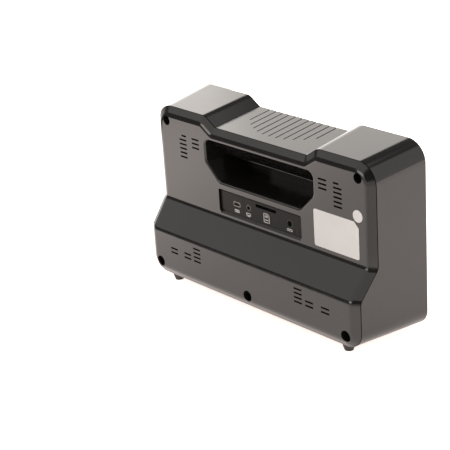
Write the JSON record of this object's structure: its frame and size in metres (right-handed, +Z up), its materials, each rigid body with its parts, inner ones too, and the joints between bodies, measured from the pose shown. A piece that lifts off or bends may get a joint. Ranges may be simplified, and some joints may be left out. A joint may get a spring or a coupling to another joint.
{
  "type": "movie film scanner",
  "caption": "Desktop scanner for reels of cine film: boxy casing with a stepped rear cover, carry pocket, port recess, film gate with a hinged door, screen and reel spindles.",
  "frame": {"origin": "middle of the whole object's box in width and depth, at the floor under the feet", "axes": "+X along the width, towards the take-up reel's side; +Y to the back with the ports; +Z up"},
  "size_m": [0.2714, 0.1096, 0.1668],
  "materials": {
    "casing_black": "moulded plastic, polished",
    "panel_black": "moulded plastic, fine texture",
    "foot_rubber": "moulded rubber",
    "screw_steel": "zinc plated",
    "label_white": "satin film sticker",
    "board_green": "solder mask",
    "socket_metal": "plated sheet metal",
    "jack_black": "moulded plastic",
    "screen_glass": "clear, glossy",
    "lcd_dark": "switched-off screen",
    "lens_glass": "coated",
    "pin_steel": "turned",
    "plate_steel": "stamped",
    "magnet_metal": "nickel plated",
    "diffuser_white": "milky",
    "nylon_white": "moulded nylon",
    "motor_steel": "drawn can",
    "roller_black": "moulded acetal",
    "spindle_black": "moulded plastic, satin",
    "bush_brass": "turned",
    "reel_black": "moulded plastic, polished",
    "button_grey": "satin"
  },
  "bodies": {
    "casing": {"housing": "casing_black", "rear_cover": "casing_black", "front_panel": "panel_black", "rubber_feet": "foot_rubber", "cover_screws": "screw_steel", "blank_label": "label_white", "round_label": "label_white", "port_board": "board_green", "usb_socket": "socket_metal", "av_jack": "jack_black", "dc_jack": "jack_black", "card_socket": "socket_metal", "main_board": "board_green", "board_screws": "screw_steel", "panel_screws": "screw_steel", "motor_screws": "screw_steel", "camera_hood": "casing_black", "screen_window": "screen_glass", "lcd_module": "lcd_dark", "camera_board": "board_green", "lens_barrel": "jack_black", "lens_glass": "lens_glass", "gate_base": "panel_black", "door_pin": "pin_steel", "door_magnet": "magnet_metal", "light_diffuser": "diffuser_white", "led_board": "board_green", "stepper_motor": "motor_steel", "roller_posts": "pin_steel", "spindle_bush": "bush_brass", "take_up_motor": "motor_steel", "drive_bracket": "plate_steel", "arm_pivot": "pin_steel", "button_board": "board_green"},
    "door": {"gate_door": "panel_black", "pressure_plate": "plate_steel", "catch_plate": "plate_steel"},
    "film_drive": {"drive_sprocket": "nylon_white", "sprocket_shaft": "pin_steel"},
    "roller_left": {"left_roller": "roller_black"},
    "roller_right": {"right_roller": "roller_black"},
    "take_up": {"take_up_spindle": "spindle_black", "spindle_gear": "nylon_white"},
    "pinion": {"motor_pinion": "bush_brass"},
    "reel": {"take_up_reel": "reel_black"},
    "arm": {"supply_arm": "spindle_black"},
    "supply": {"supply_spindle": "spindle_black", "spindle_clip": "plate_steel"},
    "power_key": {"power_button": "button_grey"},
    "ok_key": {"ok_button": "button_grey"},
    "up_key": {"up_button": "button_grey"},
    "down_key": {"down_button": "button_grey"},
    "left_key": {"left_button": "button_grey"},
    "right_key": {"right_button": "button_grey"}
  },
  "joints": [
    {"name": "door_hinge", "type": "hinge", "parent": "casing", "child": "door", "pos_m": [-0.047, -0.0252, 0.0482], "axis": [-1, 0, 0], "range_deg": [0, 80]},
    {"name": "sprocket_turn", "type": "hinge", "parent": "casing", "child": "film_drive", "pos_m": [-0.0275, -0.0356, 0.03631], "axis": [0, 1, 0], "continuous": true},
    {"name": "left_roller_turn", "type": "hinge", "parent": "casing", "child": "roller_left", "pos_m": [-0.093, -0.0388, 0.0384], "axis": [0, 1, 0], "continuous": true},
    {"name": "right_roller_turn", "type": "hinge", "parent": "casing", "child": "roller_right", "pos_m": [-0.005, -0.0388, 0.0384], "axis": [0, 1, 0], "continuous": true},
    {"name": "take_up_turn", "type": "hinge", "parent": "casing", "child": "take_up", "pos_m": [0.067, -0.0388, 0.072], "axis": [0, 1, 0], "continuous": true},
    {"name": "pinion_turn", "type": "hinge", "parent": "casing", "child": "pinion", "pos_m": [0.043, -0.0123, 0.072], "axis": [0, 1, 0], "continuous": true},
    {"name": "reel_pull_off", "type": "slide", "parent": "take_up", "child": "reel", "axis": [0, -1, 0], "range_m": [0, 0.03]},
    {"name": "arm_swing", "type": "hinge", "parent": "casing", "child": "arm", "pos_m": [-0.093, -0.0241, 0.128], "axis": [0, 1, 0], "range_deg": [0, 150]},
    {"name": "supply_turn", "type": "hinge", "parent": "arm", "child": "supply", "pos_m": [-0.093, -0.0388, 0.062], "axis": [0, 1, 0], "continuous": true},
    {"name": "power_press", "type": "slide", "parent": "casing", "child": "power_key", "axis": [0, 1, 0], "range_m": [0, 0.001], "stiffness_N_per_m": 1000},
    {"name": "ok_press", "type": "slide", "parent": "casing", "child": "ok_key", "axis": [0, 1, 0], "range_m": [0, 0.001], "stiffness_N_per_m": 1000},
    {"name": "up_press", "type": "slide", "parent": "casing", "child": "up_key", "axis": [0, 1, 0], "range_m": [0, 0.001], "stiffness_N_per_m": 1000},
    {"name": "down_press", "type": "slide", "parent": "casing", "child": "down_key", "axis": [0, 1, 0], "range_m": [0, 0.001], "stiffness_N_per_m": 1000},
    {"name": "left_press", "type": "slide", "parent": "casing", "child": "left_key", "axis": [0, 1, 0], "range_m": [0, 0.001], "stiffness_N_per_m": 1000},
    {"name": "right_press", "type": "slide", "parent": "casing", "child": "right_key", "axis": [0, 1, 0], "range_m": [0, 0.001], "stiffness_N_per_m": 1000}
  ],
  "couplings": [
    {"joint": "pinion_turn", "follows": "take_up_turn", "ratio": -4}
  ]
}
